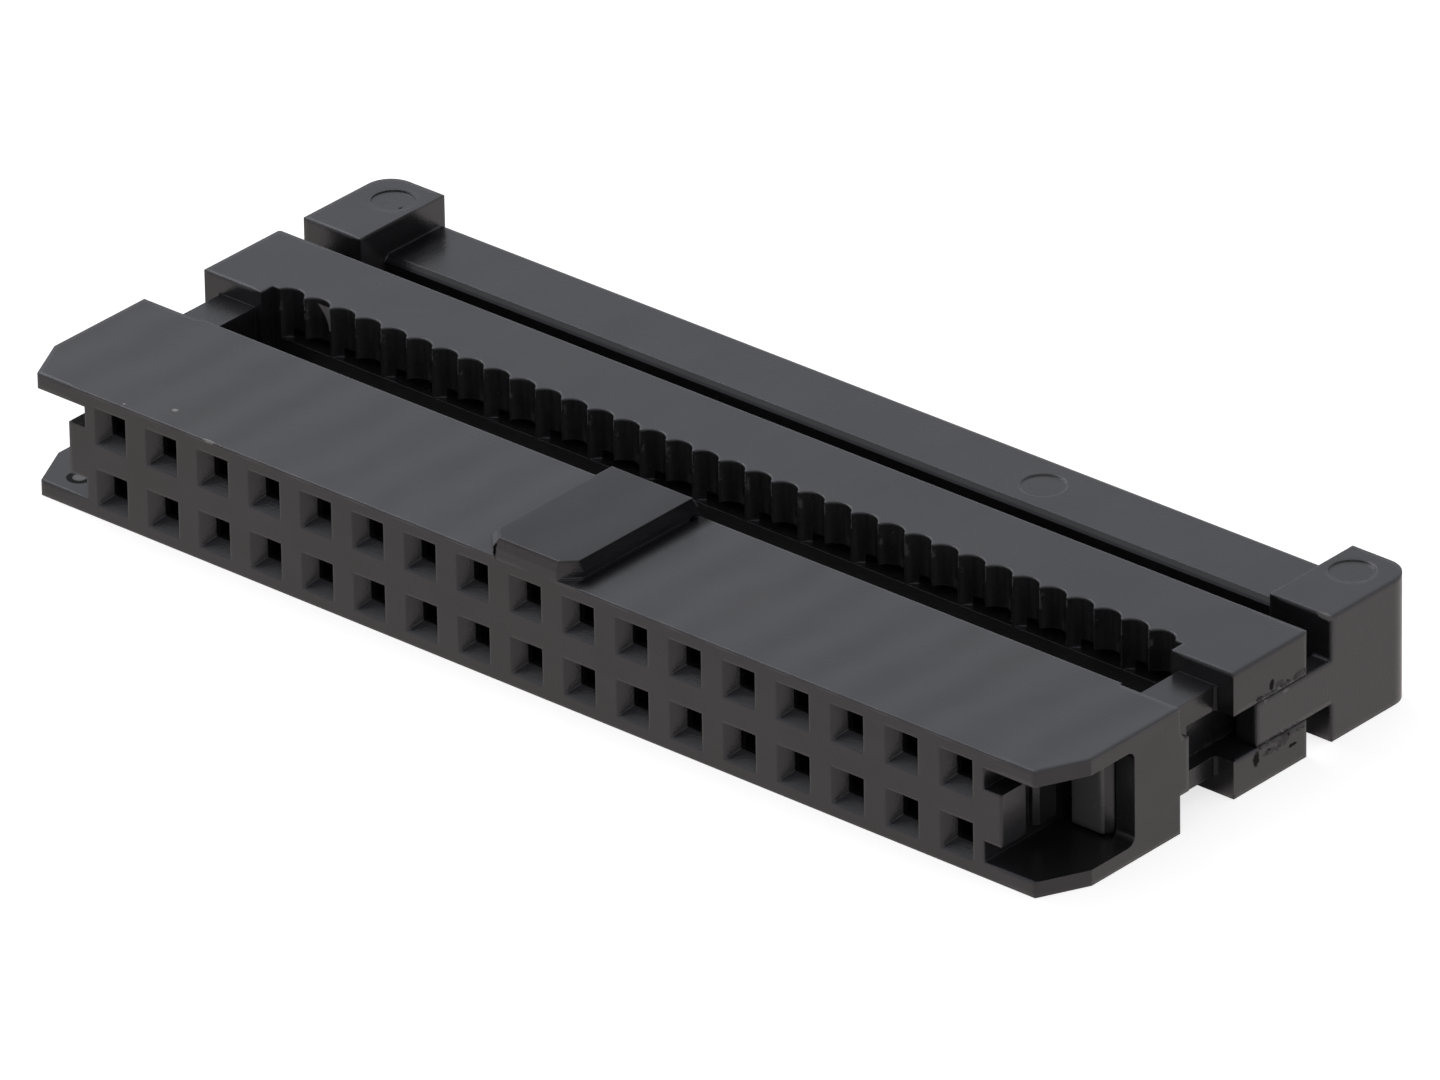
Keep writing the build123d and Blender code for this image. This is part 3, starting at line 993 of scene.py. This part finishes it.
# %% [markdown]
# ## Floor
# The connector was photographed on a white light table, so the upright faces are lit from the
# table below them. The floor has an ordinary pale surface, which takes the object's shadow and
# throws real light back up. To the camera it also glows, so that it shows as white, and to a
# reflection it is a warm white sheet, because the sheen of the plastic's upright faces is the
# table's reflection. Under the connector itself that sheet is dark, as the real table is where
# the connector keeps the light off it, or the gaps between the mouldings would mirror it.


# %% Rays and glows
def seen_by(tree, ray):
    """1 for rays of one kind, such as Is Camera Ray, and 0 for others."""
    return tree.nodes.new("ShaderNodeLightPath").outputs[ray]


def choose(tree, share, plain, other):
    """A shader that is other where share is 1, and plain elsewhere."""
    blend = tree.nodes.new("ShaderNodeMixShader")
    tree.links.new(share, blend.inputs[0])
    tree.links.new(plain, blend.inputs[1])
    tree.links.new(other, blend.inputs[2])
    return blend.outputs[0]


def glow(tree, kind, colour, strength):
    """An even glow, as a surface's Emission or a world's Background."""
    made = tree.nodes.new("ShaderNode" + kind)
    made.inputs["Color"].default_value = colour
    made.inputs["Strength"].default_value = strength
    return made.outputs[0]


# %% The table under the connector
covered_strength = 0.10
covered_inset = 1.0
covered_margin = 0.8


def under_connector(ground):
    """1 on the floor under the mouldings, falling to 0 near their outline."""
    _, x, y, _ = ground.places()
    middle = (housing_low.y + clamp_high.y) / 2
    beyond_x = (abs(x) - (housing_high.x - covered_inset)).larger(0.0)
    beyond_y = (abs(y - middle) - (clamp_high.y - middle - covered_inset)).larger(0.0)
    away = (beyond_x * beyond_x + beyond_y * beyond_y).maths("SQRT")
    return ground.fall(away, 0.0, covered_margin).out


# %% The white table's surface
floor_pale = (0.82, 0.80, 0.79, 1)
floor_roughness = 0.9
floor_glow = 0.72
table_warmth = (1.0, 0.925, 0.915, 1)
table_strength = 0.85
plain_white = (1, 1, 1, 1)

ground = Finish("floor_white")
ground.set(Base_Color=floor_pale, Roughness=floor_roughness)
surface = ground.shader.outputs[0]
lifted = ground.nodes.new("ShaderNodeAddShader")
ground.links.new(surface, lifted.inputs[0])
ground.links.new(glow(ground, "Emission", plain_white, floor_glow), lifted.inputs[1])
floor_mix = choose(ground, seen_by(ground, "Is Camera Ray"), surface, lifted.outputs[0])
lit_table = glow(ground, "Emission", table_warmth, table_strength)
dark_table = glow(ground, "Emission", table_warmth, covered_strength)
table = choose(ground, under_connector(ground), lit_table, dark_table)
for ray in ("Is Glossy Ray", "Is Transmission Ray"):
    floor_mix = choose(ground, seen_by(ground, ray), floor_mix, table)
ground.links.new(floor_mix, ground.nodes["Material Output"].inputs[0])
print("table", table_strength, "bright, and", covered_strength, "under the connector")

# %% The white table
floor_size = 1.2
corners = [(-1, -1), (1, -1), (1, 1), (-1, 1)]
floor_points = [(a * floor_size, b * floor_size, floor_z * MM) for a, b in corners]
floor_mesh = bpy.data.meshes.new("floor")
floor_mesh.from_pydata(floor_points, [], [(0, 1, 2, 3)])
floor_mesh.materials.append(ground.material)
floor = bpy.data.objects.new("floor", floor_mesh)
bpy.context.scene.collection.objects.link(floor)
print("floor at", round(floor_z, 3), "mm")

# %% [markdown]
# ## Tent
# Above the table stands a white tent. To a reflection it is a little cooler and as bright as a
# lit sheet, which gives the tops their sheen. For soft light it is dimmer, so that the floor
# keeps the object's shadow, and to the camera it is plain white.

# %% World
soft_light = ((0.98, 0.98, 1.0, 1), 0.45)
tent_light = ((0.95, 0.965, 1.04, 1), 0.765)
camera_light = (plain_white, 1.0)

world = bpy.data.worlds.new("studio")
bpy.context.scene.world = world
world.use_nodes = True
world_tree = world.node_tree
soft = glow(world_tree, "Background", *soft_light)
tent = glow(world_tree, "Background", *tent_light)
white = glow(world_tree, "Background", *camera_light)
world_mix = soft
for ray, light in (("Glossy", tent), ("Transmission", tent), ("Camera", white)):
    world_mix = choose(world_tree, seen_by(world_tree, f"Is {ray} Ray"), world_mix, light)
world_tree.links.new(world_mix, world_tree.nodes["World Output"].inputs[0])
print("tent", tent_light[1], "bright in reflections,", soft_light[1], "as soft light")

# %% [markdown]
# ## Lamp
# One soft key stands high on the left and a little behind, so each edge that faces right drops
# a short soft shadow, such as the one beside the key, which a painted shadow deepens.

# %% Soft panel
panel_place = Vector((-278, 74, 278)) * MM
panel_aim = Vector((0, 7.0, 0)) * MM
panel_size = 200 * MM
panel_radiance = 3.5
panel_tint = (0.96, 0.96, 1.04)

panel_data = bpy.data.lights.new("key_panel", "AREA")
panel_data.size = panel_size
panel_data.energy = panel_radiance * math.pi * panel_data.size**2
panel_data.color = panel_tint
panel = bpy.data.objects.new("key_panel", panel_data)
bpy.context.scene.collection.objects.link(panel)
panel.location = panel_place
panel.rotation_euler = (panel_aim - panel_place).to_track_quat("-Z", "Y").to_euler()

# %% [markdown]
# ## Look
# The view is Standard, so the colours come out as they are written.

# %% View
bpy.context.scene.view_settings.view_transform = "Standard"
